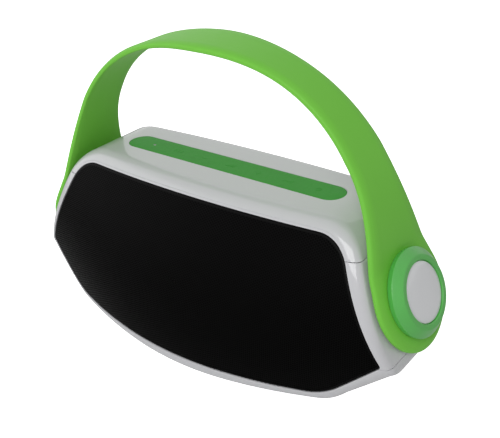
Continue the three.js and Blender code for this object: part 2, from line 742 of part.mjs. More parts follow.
// Places a geometry built with +Z out of the back and +Y up, at a height on the rear plane.
function onBack(geometry, x, z, out = 0) {
  geometry.translate(0, 0, out).rotateZ(PI).rotateX(backLean - PI / 2);
  return geometry.translate(x, backY(x, z), z);
}

function screwAt(place, x, z, out) {
  const profile = [
    [0, -screw.length], [screw.shank, -screw.length], [screw.shank, -screw.headHeight],
    [screw.head, -screw.headHeight], [screw.head, -0.4], [screw.head - 0.6, 0], [0, 0],
  ];
  return place(turned(profile, 10), x, z, out);
}

function rearPlate() {
  return slab(
    outline(inset(bodyCorners(), backBorder + gap)),
    moved(backY, -panelRecess - panelThickness), moved(backY, -panelRecess), true, true,
  );
}

function buildRear() {
  const outer = { x: bay.width + 2 * bay.wall, y: bay.height + 2 * bay.wall };
  const floorOut = -panelRecess - bay.depth;
  const pocket = box(outer.x, outer.y, bay.depth + bay.wall, 0, 0, floorOut + (bay.depth - bay.wall) / 2);
  const room = box(bay.width, bay.height, bay.depth + 10, 0, 0, floorOut + (bay.depth + 10) / 2);
  const portHoles = ports.map((port) => box(port.width, port.height, 20, port.x, 0, floorOut));
  const headHoles = rearScrews.flatMap(([x, z]) => [
    onBack(turned(discProfile(screw.head + gap, -screw.headHeight - gap, 10), 12), x, z, -panelRecess),
    onBack(turned(discProfile(screw.shank + gap, -20, 1), 12), x, z, -panelRecess),
  ]);
  const corners = [-1, 1].flatMap((across) => [-1, 1].map((up) => [across, up]));
  const posts = corners.map(([across, up]) => {
    const post = turned(discProfile(3, -panelRecess - boardStandOff + gap, -panelRecess - 2), 12);
    return onBack(post.translate(across * mainBoard.postX, up * mainBoard.postUp, 0), 0, mainBoard.z);
  });
  const plate = join(rearPlate(), onBack(pocket, 0, bay.z), ...posts);
  const cuts = [onBack(room, 0, bay.z), ...portHoles.map((hole) => onBack(hole, 0, bay.z)), ...headHoles];
  add("rear_panel", cut(plate, ...cuts), whitePlastic);
  rearScrews.forEach(([x, z], i) => {
    add(`rear_screw_${i + 1}`, screwAt(onBack, x, z, -panelRecess - 0.2), steel);
  });
  buildPorts(floorOut);
}

const ports = [
  { name: "charge_socket", x: -14, width: 10.4, height: 4.6, hole: [8.4, 2.6] },
  { name: "line_in_socket", x: 14, width: 8.6, height: 8.6, hole: [3.6, 3.6], isRound: true },
];
const boardStandOff = 20; // from the rear panel's face to the main board
const mainBoard = { z: 76, width: 62, height: 34, postX: 26, postUp: 12 };

function buildPorts(floorOut) {
  const socketFront = floorOut + gap;
  for (const port of ports) {
    const shell = box(port.width - 2 * gap, port.height - 2 * gap, 9, port.x, 0, socketFront - 4.5);
    const mouth = port.isRound
      ? turned(discProfile(port.hole[0] / 2, -8, 2), 16).translate(port.x, 0, socketFront)
      : box(port.hole[0], port.hole[1], 14, port.x, 0, socketFront);
    add(port.name, onBack(cut(shell, mouth), 0, bay.z), port.isRound ? blackPlastic : steel);
  }
  const ioZ = socketFront - 9 - gap - boardThickness / 2;
  const io = box(bay.width - 4, bay.height, boardThickness, 0, 0, ioZ);
  add("port_board", onBack(io, 0, bay.z), boardGreen);

  const boardFace = -panelRecess - boardStandOff;
  const chipSide = boardFace - boardThickness;
  const main = box(mainBoard.width, mainBoard.height, boardThickness, 0, 0, (boardFace + chipSide) / 2);
  const chips = [
    box(10, 10, 2.4, -14, 4, chipSide - 1),
    box(16, 9, 6.4, 14, -6, chipSide - 3),
    turned(discProfile(5, 0, 12.5), 16).translate(18, 9, chipSide - 12),
  ];
  add("main_board", onBack(join(main, ...chips), 0, mainBoard.z), boardGreen);

  // The cover turns on the round bead along its lower edge.
  const bead = coverThickness / 2;
  const beadUp = -bay.height / 2 + coverGap + bead;
  const width = bay.width - 2 * coverGap;
  const height = bay.height / 2 - coverGap - beadUp;
  const face = box(width, height, coverThickness, 0, beadUp + height / 2, -panelRecess - bead);
  const roll = new THREE.CylinderGeometry(bead, bead, width, 12).rotateZ(PI / 2);
  const tab = box(12, 1.6, 1.6, 0, bay.height / 2 - 3, -panelRecess);
  const cover = join(face, roll.translate(0, beadUp, -panelRecess - bead), tab);
  add("port_cover", onBack(cover, 0, bay.z), greyRubber);
}

// ---- Battery and feet ---------------------------------------------------------------------------

const battery = { length: 70, cell: 18.6, y: 13 };

function buildBattery() {
  const halfLength = battery.length / 2;
  const floorPoints = wallOutline.filter(([x, z]) => abs(x) <= halfLength + wall && z < centreZ);
  const low = Math.max(...floorPoints.map(([, z]) => z)) + 1; // 1 mm of foam tape under the pack
  const section = roundedRectangle(2 * battery.cell + 1, battery.cell + 0.6, 8.6);
  const pack = prism(section, -halfLength, halfLength, 4)
    .rotateX(PI / 2)
    .rotateZ(PI / 2)
    .translate(0, battery.y, low + battery.cell / 2 + 0.3);
  add("battery_pack", pack, wrapBlue);
}

function footSeat(x, y) {
  const top = undersideZ(x) + foot.recess;
  return turned(discProfile(foot.radius + gap, -5, top), 16).translate(x, y, 0);
}

function footPlaces() {
  return [
    ["front_left", -foot.x, foot.front], ["front_right", foot.x, foot.front],
    ["back_left", -foot.x, foot.back], ["back_right", foot.x, foot.back],
  ];
}

function buildFeet() {
  for (const [word, x, y] of footPlaces()) {
    const top = undersideZ(x) + foot.recess - gap;
    const profile = [[0, 0], [foot.radius - 1.5, 0], [foot.radius, 1.2], [foot.radius, top], [0, top]];
    add(`foot_${word}`, turned(profile, 16).translate(x, y, 0), greyRubber);
  }
}

// ---- Shells -------------------------------------------------------------------------------------

function buildShells() {
  const hubLands = [-1, 1].map(hubPad);
  const belt = join(cut(bodyBlock(), ...hollows()), ...hubLands);
  const screwHoles = [
    ...rearScrews.map(([x, z]) => onBack(turned(discProfile(screw.shank + gap, -40, 1), 10), x, z)),
    ...baffleScrews.map(([x, z]) => onBaffle(turned(discProfile(screw.shank + gap, -30, 1), 10), x, z)),
  ];
  const feet = footPlaces().map(([, x, y]) => footSeat(x, y));
  const bored = cut(belt, ...screwHoles, ...feet, ...[-1, 1].map(hubHole));
  const top = cut(common(bored, above(upperSeamZ + gap / 2)), ...keypadCuts());
  add("top_shell", join(top, ...keypadPosts()), whitePlastic);
  add("bottom_shell", common(bored, below(lowerSeamZ - gap / 2)), whitePlastic);
  for (const [side, word] of [[-1, "left"], [1, "right"]]) {
    const slice = between(lowerSeamZ + gap / 2, upperSeamZ - gap / 2, side);
    add(`end_cap_${word}`, common(bored, slice), whitePlastic);
  }
  baffleScrews.forEach(([x, z], i) => {
    add(`baffle_screw_${i + 1}`, screwAt(onBaffle, x, z, screw.headHeight + gap / 3), steel);
  });
}

buildShells();
buildFront();
buildRear();
buildKeypad();
buildBattery();
buildFeet();
for (const [side, word] of [[-1, "left"], [1, "right"]]) {
  buildDriver(side, word);
  buildHub(side, word);
}
buildStrap();

// The origin is under the middle of the whole speaker.
const extent = new THREE.Box3().setFromObject(group);
group.position.y = -(extent.min.y + extent.max.y) / 2;

export default group;
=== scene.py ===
import math
import bmesh
import bpy
from mathutils import Matrix, Vector


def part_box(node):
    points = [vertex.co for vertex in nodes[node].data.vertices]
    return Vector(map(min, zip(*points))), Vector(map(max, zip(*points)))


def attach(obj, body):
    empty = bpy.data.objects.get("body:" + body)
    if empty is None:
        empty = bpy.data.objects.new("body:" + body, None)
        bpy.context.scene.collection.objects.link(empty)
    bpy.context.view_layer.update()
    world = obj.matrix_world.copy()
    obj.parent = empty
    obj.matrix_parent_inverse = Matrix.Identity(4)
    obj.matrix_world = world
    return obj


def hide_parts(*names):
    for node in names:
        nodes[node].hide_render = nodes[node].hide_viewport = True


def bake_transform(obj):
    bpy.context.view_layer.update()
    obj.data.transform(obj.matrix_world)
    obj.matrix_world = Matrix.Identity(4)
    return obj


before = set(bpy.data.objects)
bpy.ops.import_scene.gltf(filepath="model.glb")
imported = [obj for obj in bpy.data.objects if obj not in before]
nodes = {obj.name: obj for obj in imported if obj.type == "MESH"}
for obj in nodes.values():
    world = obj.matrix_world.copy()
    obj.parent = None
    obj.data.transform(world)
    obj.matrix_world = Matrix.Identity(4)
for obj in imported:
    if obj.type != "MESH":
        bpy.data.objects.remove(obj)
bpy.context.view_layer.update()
scene = bpy.context.scene
mm = 0.001  # sizes are in millimetres with Y from the hub's axis; only camera and stage are in metres
low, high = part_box("pivot_pin_right")
hubY = ((low + high) / 2).y / mm
bothSides = ((-1, "left"), (1, "right"))
print("frame loaded,", len(nodes), "pieces")


def addNode(tree, kind, inputs=None, **settings):
    node = tree.nodes.new(kind)
    for name, value in settings.items():
        setattr(node, name, value)
    for socket, value in (inputs or {}).items():
        if isinstance(value, bpy.types.NodeSocket):
            tree.links.new(value, node.inputs[socket])
        else:
            node.inputs[socket].default_value = value
    return node


def linear(code):
    # "#rrggbb" as shown on a screen to the linear colour that a shader takes
    parts = [int(code[i:i + 2], 16) / 255 for i in (1, 3, 5)]
    return [p / 12.92 if p <= 0.04045 else ((p + 0.055) / 1.055) ** 2.4 for p in parts] + [1.0]


def linkMesh(name, points, faces):
    mesh = bpy.data.meshes.new(name)
    mesh.from_pydata(points, [], faces)
    piece = bpy.data.objects.new(name, mesh)
    scene.collection.objects.link(piece)
    return piece


def makeObject(name, points, faces):
    # points in millimetres from the hub's axis; the place ends up in the mesh, not in the object
    piece = linkMesh(name, [(x * mm, (y + hubY) * mm, z * mm) for x, y, z in points], faces)
    piece.data.validate()
    return piece


def bakeModifiers(piece):
    graph = bpy.context.evaluated_depsgraph_get()
    piece.update_tag()
    graph.update()
    mesh = bpy.data.meshes.new_from_object(piece.evaluated_get(graph))
    piece.modifiers.clear()
    piece.data = mesh
    return piece


def smooth(piece, degrees=35):
    piece.data.shade_smooth()
    piece.data.set_sharp_from_angle(angle=math.radians(degrees))
    return piece


def orient(piece):
    # doubles merged, every face pointing out
    work = bmesh.new()
    work.from_mesh(piece.data)
    bmesh.ops.remove_doubles(work, verts=work.verts, dist=0.01 * mm)
    bmesh.ops.recalc_face_normals(work, faces=work.faces)
    work.to_mesh(piece.data)
    work.free()
    return piece


def dress(piece, material, slot, body, *stoodFor):
    piece.data.materials.clear()
    piece.data.materials.append(material)
    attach(piece, body)
    if stoodFor:
        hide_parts(*stoodFor)
    return piece


def skin(rings, closedEnds=False):
    # quads between rings that hold the same number of points
    count = len(rings[0])
    points = [p for ring in rings for p in ring]
    faces = []
    for i in range(len(rings) - 1):
        for j in range(count):
            k = (j + 1) % count
            a, b = i * count, (i + 1) * count
            faces.append((a + j, a + k, b + k, b + j))
    if closedEnds:
        faces.append(tuple(range(count - 1, -1, -1)))
        last = (len(rings) - 1) * count
        faces.append(tuple(range(last, last + count)))
    return points, faces


def turned(name, profile, sides=96):
    # solid of revolution about Z; the profile starts and ends on the axis
    turns = [2 * math.pi * k / sides for k in range(sides)]
    points, faces = skin([[(r * math.cos(a), r * math.sin(a), h) for a in turns] for r, h in profile])
    return orient(linkMesh(name, [Vector(p) * mm for p in points], faces))


def place(piece, matrix):
    piece.data.transform(matrix)
    return piece


def roundCorner(before, corner, after, radius, steps=4):
    # the corner of a profile as points on an arc
    a = (Vector(before) - Vector(corner)).normalized()
    b = (Vector(after) - Vector(corner)).normalized()
    half = a.angle(b) / 2
    centre = Vector(corner) + (a + b).normalized() * radius / math.sin(half)
    start = Vector(corner) + a * radius / math.tan(half) - centre
    end = Vector(corner) + b * radius / math.tan(half) - centre
    turn = start.angle_signed(end)
    return [tuple(centre + Matrix.Rotation(-turn * k / steps, 2) @ start) for k in range(steps + 1)]


def carve(piece, cutter):
    # the cutter is taken away from the piece and removed
    cut = piece.modifiers.new("cut", "BOOLEAN")
    cut.operation = "DIFFERENCE"
    cut.solver = "EXACT"
    cut.object = cutter
    bakeModifiers(piece)
    bpy.data.objects.remove(cutter)
    return piece


def prism(name, outlinePoints, low, high):
    rings = [[(x, y, h) for x, y in outlinePoints] for h in (low, high)]
    return orient(makeObject(name, *skin(rings, closedEnds=True)))


def joinMeshes(piece, others):
    # the others' meshes are added to the piece's own
    work = bmesh.new()
    work.from_mesh(piece.data)
    for other in others:
        work.from_mesh(other.data)
        bpy.data.objects.remove(other)
    work.to_mesh(piece.data)
    work.free()
    return piece


def disc(x, y, radius, sides=32):
    turns = [2 * math.pi * k / sides for k in range(sides)]
    return [(x + radius * math.cos(a), y + radius * math.sin(a)) for a in turns]


def softProfile(profile):
    # each (x, y, radius) of an open profile, its corners rounded
    made = [profile[0][:2]]
    for before, corner, after in zip(profile, profile[1:], profile[2:]):
        if corner[2] > 0:
            made += roundCorner(before[:2], corner[:2], after[:2], corner[2])
        else:
            made.append(corner[:2])
    return made + [profile[-1][:2]]


def startMaterial(name):
    # a principled shader and the coordinates that its textures use
    material = bpy.data.materials.new(name)
    material.use_nodes = True
    tree = material.node_tree
    coords = addNode(tree, "ShaderNodeTexCoord").outputs["Object"]
    return material, tree, tree.nodes["Principled BSDF"], coords


def setShader(shader, **values):
    for name, value in values.items():
        shader.inputs[name.replace("_", " ")].default_value = value


def mottle(tree, shader, coords, size, darker, lighter):
    # slow change of colour over the surface, size in millimetres
    noise = addNode(tree, "ShaderNodeTexNoise", {"Vector": coords, "Scale": 1 / (size * mm), "Detail": 3.0})
    ramp = addNode(tree, "ShaderNodeValToRGB", {"Fac": noise.outputs["Fac"]})
    ramp.color_ramp.elements[0].position = 0.3
    ramp.color_ramp.elements[0].color = linear(darker)
    ramp.color_ramp.elements[1].position = 0.7
    ramp.color_ramp.elements[1].color = linear(lighter)
    tree.links.new(ramp.outputs["Color"], shader.inputs["Base Color"])


def unevenGloss(tree, shader, coords, size, low, high):
    # roughness that drifts between two values, size in millimetres
    noise = addNode(tree, "ShaderNodeTexNoise", {"Vector": coords, "Scale": 1 / (size * mm), "Detail": 4.0})
    spread = addNode(tree, "ShaderNodeMapRange", {
        "Value": noise.outputs["Fac"], "From Min": 0.3, "From Max": 0.7, "To Min": low, "To Max": high})
    tree.links.new(spread.outputs["Result"], shader.inputs["Roughness"])


def grain(tree, shader, coords, size, depth):
    # fine surface texture, size and depth in millimetres
    noise = addNode(tree, "ShaderNodeTexNoise", {"Vector": coords, "Scale": 1 / (size * mm), "Detail": 2.0})
    bump = addNode(tree, "ShaderNodeBump", {
        "Height": noise.outputs["Fac"], "Distance": depth * mm, "Strength": 1.0})
    tree.links.new(bump.outputs["Normal"], shader.inputs["Normal"])


def mouldedAbs():
    # glossy ABS from a polished mould: a clean sheet of white with crisp streaks where it curves
    material, tree, shader, coords = startMaterial("mouldedAbs")
    setShader(shader, IOR=1.45, Specular_IOR_Level=0.2, Coat_Weight=0.8, Coat_Roughness=0.045)
    mottle(tree, shader, coords, 90, "#cacacd", "#cccccf")
    unevenGloss(tree, shader, coords, 14, 0.3, 0.32)
    grain(tree, shader, coords, 0.5, 0.0003)
    return material


def siliconeStrap():
    # satin silicone rubber from a sandblasted mould: broad dull sheen, fine matt grain
    material, tree, shader, coords = startMaterial("siliconeStrap")
    setShader(shader, IOR=1.43, Specular_IOR_Level=0.18)
    mottle(tree, shader, coords, 60, "#78ca48", "#7bcc4b")
    unevenGloss(tree, shader, coords, 3, 0.42, 0.46)
    grain(tree, shader, coords, 0.7, 0.006)
    return material


def hubAbs():
    # half-gloss ABS, through-coloured and a little bluer than the strap
    material, tree, shader, coords = startMaterial("hubAbs")
    setShader(shader, IOR=1.52)
    mottle(tree, shader, coords, 40, "#57b552", "#5ab755")
    unevenGloss(tree, shader, coords, 3, 0.32, 0.35)
    grain(tree, shader, coords, 0.6, 0.002)
    return material


def keypadRubber():
    # matt silicone keymat with a spark-eroded grain
    material, tree, shader, coords = startMaterial("keypadRubber")
    setShader(shader, IOR=1.43, Specular_IOR_Level=0.3)
    mottle(tree, shader, coords, 30, "#3a9434", "#3c9736")
    unevenGloss(tree, shader, coords, 2, 0.52, 0.58)
    grain(tree, shader, coords, 0.5, 0.008)
    return material


def coatedSteelMesh():
    # perforated steel with matt black powder coat: deep black, a faint glint on the webs near a light
    material, tree, shader, coords = startMaterial("coatedSteelMesh")
    setShader(shader, IOR=1.45, Specular_IOR_Level=0.08)
    mottle(tree, shader, coords, 12, "#010101", "#020202")
    unevenGloss(tree, shader, coords, 1, 0.36, 0.44)
    return material


def paintedShadeSheet():
    # a near-black sheet behind the grille that swallows nearly all light: painted shade for the speaker's
    # dark inside seen through the holes
    material, tree, shader, coords = startMaterial("paintedShadeSheet")
    setShader(shader, Specular_IOR_Level=0.02)
    mottle(tree, shader, coords, 5, "#020202", "#040404")
    unevenGloss(tree, shader, coords, 1, 0.85, 0.95)
    grain(tree, shader, coords, 0.3, 0.05)
    return material


def glossyLacquer():
    # clear-lacquered white disc: sharper reflections than the body
    material, tree, shader, coords = startMaterial("glossyLacquer")
    setShader(shader, IOR=1.5, Coat_Weight=0.6, Coat_Roughness=0.05)
    mottle(tree, shader, coords, 30, "#e2e3e5", "#e4e5e7")
    unevenGloss(tree, shader, coords, 3, 0.2, 0.25)
    return material


def matteAbs():
    # black ABS with a spark-eroded matt texture
    material, tree, shader, coords = startMaterial("matteAbs")
    mottle(tree, shader, coords, 10, "#101011", "#161617")
    unevenGloss(tree, shader, coords, 2, 0.55, 0.65)
    grain(tree, shader, coords, 0.5, 0.03)
    return material


def darkRubber():
    # dark grey rubber: dull, faintly dusty
    material, tree, shader, coords = startMaterial("darkRubber")
    setShader(shader, IOR=1.45)
    mottle(tree, shader, coords, 8, "#2f3031", "#3a3b3c")
    unevenGloss(tree, shader, coords, 2, 0.65, 0.8)
    grain(tree, shader, coords, 0.4, 0.03)
    return material


def zincSteel():
    # zinc-plated steel: bright, slightly blue, with a fine turned grain
    material, tree, shader, coords = startMaterial("zincSteel")
    setShader(shader, Metallic=1.0)
    mottle(tree, shader, coords, 3, "#aeb2b6", "#c4c8cc")
    unevenGloss(tree, shader, coords, 0.8, 0.25, 0.4)
    grain(tree, shader, coords, 0.3, 0.01)
    return material


def darkSteel():
    # phosphated steel pressings: dark, dull, crystalline patches
    material, tree, shader, coords = startMaterial("darkSteel")
    setShader(shader, Metallic=1.0)
    mottle(tree, shader, coords, 1.5, "#3c3e42", "#50535a")
    unevenGloss(tree, shader, coords, 1.5, 0.4, 0.55)
    grain(tree, shader, coords, 0.5, 0.015)
    return material


def paperCone():
    # coated paper pulp: fibrous and matt
    material, tree, shader, coords = startMaterial("paperCone")
    mottle(tree, shader, coords, 2, "#18191a", "#242527")
    unevenGloss(tree, shader, coords, 1.5, 0.65, 0.8)
    grain(tree, shader, coords, 0.6, 0.06)
    return material


def circuitBoard():
    # glass-fibre board under green solder mask, copper tracks showing as paler lines
    material, tree, shader, coords = startMaterial("circuitBoard")
    setShader(shader, IOR=1.5)
    tracks = addNode(tree, "ShaderNodeTexBrick", {
        "Vector": coords, "Scale": 1.0,
        "Brick Width": 5 * mm, "Row Height": 1.6 * mm, "Mortar Size": 0.2 * mm,
        "Color1": linear("#14502f"), "Color2": linear("#17583a"), "Mortar": linear("#2f7a4a")})
    tree.links.new(tracks.outputs["Color"], shader.inputs["Base Color"])
    unevenGloss(tree, shader, coords, 2, 0.3, 0.4)
    grain(tree, shader, coords, 0.8, 0.02)
    return material


def shrinkWrap():
    # blue PVC shrink sleeve: glossy with slack ripples
    material, tree, shader, coords = startMaterial("shrinkWrap")
    setShader(shader, IOR=1.54)
    mottle(tree, shader, coords, 10, "#274a92", "#3054a2")
    unevenGloss(tree, shader, coords, 4, 0.2, 0.3)
    grain(tree, shader, coords, 6, 0.15)
    return material


def clearLens():
    # clear acrylic light pipe, milky at its tip
    material, tree, shader, coords = startMaterial("clearLens")
    setShader(shader, IOR=1.49, Transmission_Weight=0.6)
    mottle(tree, shader, coords, 2, "#b8c8b8", "#c8d8c8")
    unevenGloss(tree, shader, coords, 1, 0.15, 0.3)
    return material


white, strapGreen, hubGreen, keyGreen = mouldedAbs(), siliconeStrap(), hubAbs(), keypadRubber()
meshBlack, lacquer, black, rubber = coatedSteelMesh(), glossyLacquer(), matteAbs(), darkRubber()
zinc, dark, cone, board = zincSteel(), darkSteel(), paperCone(), circuitBoard()
wrap, lens, shadeSheetBlack = shrinkWrap(), clearLens(), paintedShadeSheet()
print("materials made")

# body: outlines in the front view, and the front and back surfaces over them
body = {
    "top": 115.3, "bottom": 1.2, "bottomRise": 6.3, "endTilt": 23, "hubX": 136, "hubZ": 69.9,
    "padToEnd": 5.6,  # outer face of the strap's pad to the end face
    "sideCornerZ": 33.9, "bottomCornerX": 109.5,
    "topRadius": 32, "sideRadius": 8, "bottomRadius": 22, "undersideRadius": 700,
    "lipProud": 0.36, "lipRound": 2.2, "lipTop": 7.5, "lipEnd": 4, "lipChamfer": 19.5, "lipUnderside": 6,
    "backTopY": 38.96, "backLean": 5.9, "backSweepTop": 3.7, "backSweepBottom": 12,
    "backEdge": 6.6, "backEndEdge": 8.8, "backBorder": 9, "wall": 1.6, "seamRadius": 0.35,
    "upperSeam": 98, "lowerSeam": 41, "gap": 0.3, "heartZ": 62,
    # edge of the grille's opening as (growth of the opening, depth behind the lip's face)
    "openingEdge": [(0, 6.36), (0, 0.46), (0.12, 0.12), (0.4, 0), (0.8, 0)],
    # edge of the rear panel's seat as (added to the border, step in Y from the back surface)
    "seatEdge": [(-0.4, -0.72), (-0.1, -0.85), (0, -1.2), (0, -4.0)],
}
# the grille's own values stand here because the body's lip and front follow them
grille = {
    "top": 108.2, "topCornerX": 104.46, "sideX": 137.07, "sideZ": 42.2,
    "bottomX": 104.2, "bottomZ": 14.2, "bottom": 12, "endBow": 0.2,
    "topRadius": 22.8, "sideRadius": 2, "bottomRadius": 30, "undersideRadius": 1500,
    # bottom, half-way and top: how far the front stands out, and how far it falls back 100 mm to the side
    "bow": (65.8, 57.2, 30.6), "sweep": (17.3, 10.3, 5.3),
    # pitch of the cells, share of a cell that is open, plain border, depth behind the front surface
    "pitch": 1.5, "openShare": 0.74, "border": 0.6, "rise": 0.05,
    "fieldWidth": 290, "fieldHeight": 110, "fieldZ": 60,  # the cells laid out before the outline trims them
    "sheetReach": 145, "sheetLow": 5, "sheetHigh": 113,  # the smooth sheet that the cells are pressed onto
    # section of the rim as (inset, depth), from its inner edge over the front to the back of the skirt
    "rimEdge": [(1.3, 0.5), (1.3, 0), (0.9, -0.02), (0.35, 0.12),
                (0.08, 0.4), (0, 0.8), (0, 4.5), (0.8, 4.5)],
    # the near-black sheet behind the holes, painted shade: its depth behind the front, its inset, and the
    # sizes of its rings towards the middle
    "shadeSheet": 1.0, "shadeSheetInset": 0.8, "shadeSheetShares": (1.0, 0.8, 0.6, 0.4, 0.2, 0.02),
}
tilt = math.radians(body["endTilt"])


def endX(z):
    return body["hubX"] - body["padToEnd"] / math.cos(tilt) - math.tan(tilt) * (z - body["hubZ"])


def bothHalves(corners):
    # corners of the right half from the top down, the last one in the middle, then the left half
    return corners + [(-x, z, r) for x, z, r in reversed(corners[:-1])]


def bodyCorners():
    b = body
    return bothHalves([
        (endX(b["top"]), b["top"], b["topRadius"]),
        (endX(b["sideCornerZ"]), b["sideCornerZ"], b["sideRadius"]),
        (b["bottomCornerX"], b["bottom"] + b["bottomRise"], b["bottomRadius"]),
        (0, b["bottom"], b["undersideRadius"]),
    ])


def grilleCorners():
    g = grille
    return bothHalves([
        (g["topCornerX"], g["top"], g["topRadius"]),
        (g["sideX"], g["sideZ"], g["sideRadius"]),
        (g["bottomX"], g["bottomZ"], g["bottomRadius"]),
        (0, g["bottom"], g["undersideRadius"]),
    ])


def inset(corners, distance, leastRadius=0.6):
    # every edge moved inwards; the outline runs clockwise seen from the front
    count = len(corners)
    edges = []
    for i in range(count):
        a, b = Vector(corners[i][:2]), Vector(corners[(i + 1) % count][:2])
        along = (b - a).normalized()
        inwards = Vector((along.y, -along.x))
        edges.append((a + inwards * distance, along))
    moved = []
    for i in range(count):
        (p, u), (q, v) = edges[i - 1], edges[i]
        t = (q - p).cross(v) / u.cross(v)
        corner = p + u * t
        moved.append((corner.x, corner.y, max(corners[i][2] - distance, leastRadius)))
    return moved


def outline(corners, arcSteps=12, edgeSteps=16):
    # rounded corners and the straight edges between them, the same number of points on every outline
    arcs = []
    count = len(corners)
    for i, (x, z, radius) in enumerate(corners):
        before, after = corners[i - 1], corners[(i + 1) % count]
        arcs.append(roundCorner(before[:2], (x, z), after[:2], radius, arcSteps))
    points = []
    for arc, following in zip(arcs, arcs[1:] + arcs[:1]):
        points += arc
        start, end = Vector(arc[-1]), Vector(following[0])
        points += [tuple(start.lerp(end, k / edgeSteps)) for k in range(1, edgeSteps)]
    return points


def bowEnds(points):
    # the ends of the grille curve in a little between its side and top corners
    g = grille
    made = []
    for x, z in points:
        t = (z - g["sideZ"]) / (g["top"] - g["sideZ"])
        inwards = g["endBow"] * math.sin(math.pi * t) if 0 < t < 1 and abs(x) > g["topCornerX"] / 2 else 0
        made.append((x - math.copysign(inwards, x), z))
    return made


def mix(a, b, t):
    return [(p[0] + (q[0] - p[0]) * t, p[1] + (q[1] - p[1]) * t) for p, q in zip(a, b)]


def shrinkTo(points, share):
    heartZ = body["heartZ"]
    return [(x * share, heartZ + (z - heartZ) * share) for x, z in points]


def parabola(values, t):
    # the curve through three values, at 0, a half and 1
    low, half, high = values
    return low * (1 - t) * (1 - 2 * t) + 4 * half * t * (1 - t) + high * t * (2 * t - 1)


def frontY(x, z):
    t = (z - grille["bottomZ"]) / (grille["top"] - grille["bottomZ"])
    return -(parabola(grille["bow"], t) - (x / 100) ** 2 * parabola(grille["sweep"], t))


def backY(x, z):
    b = body
    t = (z - b["bottom"]) / (b["top"] - b["bottom"])
    sweep = b["backSweepBottom"] + (b["backSweepTop"] - b["backSweepBottom"]) * t
    return b["backTopY"] + math.tan(math.radians(b["backLean"])) * (b["top"] - z) - (x / 100) ** 2 * sweep


def over(points, yOf, distance=0.0):
    return [(x, yOf(x, z) + distance, z) for x, z in points]


def grilleRing(inwards, depth):
    # the grille's outline moved inwards, at a depth behind the front surface
    return over(bowEnds(outline(inset(grilleCorners(), inwards))), frontY, depth)


bodyOutline = outline(bodyCorners())


def lipRoll(i):
    # depth of the lip's roll, from the way the outline faces at that point
    count = len(bodyOutline)
    ahead, behind = Vector(bodyOutline[(i + 1) % count]), Vector(bodyOutline[i - 1])
    down = -(ahead - behind).normalized().x  # -1 on the top, 0 on an upright end, 1 underneath
    b = body
    if down < 0:
        return b["lipEnd"] + (b["lipTop"] - b["lipEnd"]) * down ** 2
    chamfer = Vector((endX(b["sideCornerZ"]) - b["bottomCornerX"],
                      b["sideCornerZ"] - b["bottom"] - b["bottomRise"])).normalized().x
    if down < chamfer:
        return b["lipEnd"] + (b["lipChamfer"] - b["lipEnd"]) * down / chamfer
    return b["lipChamfer"] + (b["lipUnderside"] - b["lipChamfer"]) * (down - chamfer) / (1 - chamfer)


rolls = [lipRoll(i) for i in range(len(bodyOutline))]


def bodySkin():
    # from inside the grille's opening over the lip, along the sides, round the back into the panel's seat
    gap, edge, proud, power = body["gap"], body["backEdge"], body["lipProud"], 2 / body["lipRound"]
    rings = [grilleRing(-gap - grow, depth - proud) for grow, depth in body["openingEdge"]]
    opening = [(x, z) for x, _, z in rings[-1]]
    lipSteps = 18
    for k in range(1, lipSteps + 1):
        angle = math.pi / 2 * k / lipSteps
        points = mix(opening, bodyOutline, math.sin(angle) ** power)
        back = 1 - max(math.cos(angle), 0) ** power
        rings.append([
            (x, frontY(x, z) - proud + roll * back, z) for (x, z), roll in zip(points, rolls)
        ])
    front = rings[-1]
    innerBack = outline([
        (math.copysign(max(abs(x) - body["backEndEdge"], 0), x), z, r)
        for x, z, r in inset(bodyCorners(), edge)
    ])
    back = over(bodyOutline, backY, -edge)
    for share in (0.1, 0.3, 0.5, 0.7, 0.9):
        rings.append([tuple(Vector(a).lerp(Vector(b), share)) for a, b in zip(front, back)])
    backSteps = 10
    for k in range(backSteps, -1, -1):
        angle = math.pi / 2 * k / backSteps
        points = mix(innerBack, bodyOutline, math.sin(angle))
        rings.append(over(points, backY, -edge * (1 - math.cos(angle))))
    for grow, depth in body["seatEdge"]:
        rings.append(over(outline(inset(bodyCorners(), body["backBorder"] + grow)), backY, depth))
    return rings


def cutSkin(name, rings, low, high, side=0):
    # the skin between two heights, on one side of the middle if a side is given, made into a wall
    points, faces = skin(rings)
    piece = makeObject(name, points, faces)
    work = bmesh.new()
    work.from_mesh(piece.data)
    cuts = [((0, 0, low), (0, 0, -1)), ((0, 0, high), (0, 0, 1))]
    if side:
        cuts.append(((0, 0, 0), (-side, 0, 0)))
    for at, normal in cuts:
        bmesh.ops.bisect_plane(
            work, geom=work.verts[:] + work.edges[:] + work.faces[:],
            plane_co=Vector(at) * mm, plane_no=normal, clear_outer=True)
    bmesh.ops.recalc_face_normals(work, faces=work.faces)
    # reversed if more of the area faces the middle of the body than away from it
    heart = Vector((0, hubY * mm, body["heartZ"] * mm))
    facing = sum((f.calc_center_median() - heart).dot(f.normal) * f.calc_area() for f in work.faces)
    if facing < 0:
        bmesh.ops.reverse_faces(work, faces=work.faces)
    work.to_mesh(piece.data)
    work.free()
    wall = piece.modifiers.new("wall", "SOLIDIFY")
    wall.thickness = body["wall"] * mm
    wall.offset = -1
    edge = piece.modifiers.new("edge", "BEVEL")
    edge.width = body["seamRadius"] * mm
    edge.segments = 2
    edge.limit_method = "ANGLE"
    edge.angle_limit = math.radians(60)
    return bakeModifiers(piece)


# keypad: a flush strip with six keys in it; its values stand here as the top shell has a seat for it
keypad = {
    "halfLength": 86.645, "halfWidth": 9.7, "y": 6.4, "depth": 1.6, "seatGap": 0.1,
    # edge of the strip as (inset, height)
    "edge": [(0.45, 0), (0.2, -0.05), (0.05, -0.2), (0, -0.45)],
    "lampX": -65.645, "lampRadius": 1.0, "lampGap": 0.05, "lampSunk": 0.05,
    "pitch": 22.38, "keyX": 14.98, "keyY": 14.2, "keyCorner": 4, "keyGap": 0.04,
    "signHeight": 0.12, "signRoot": 0.2,
}


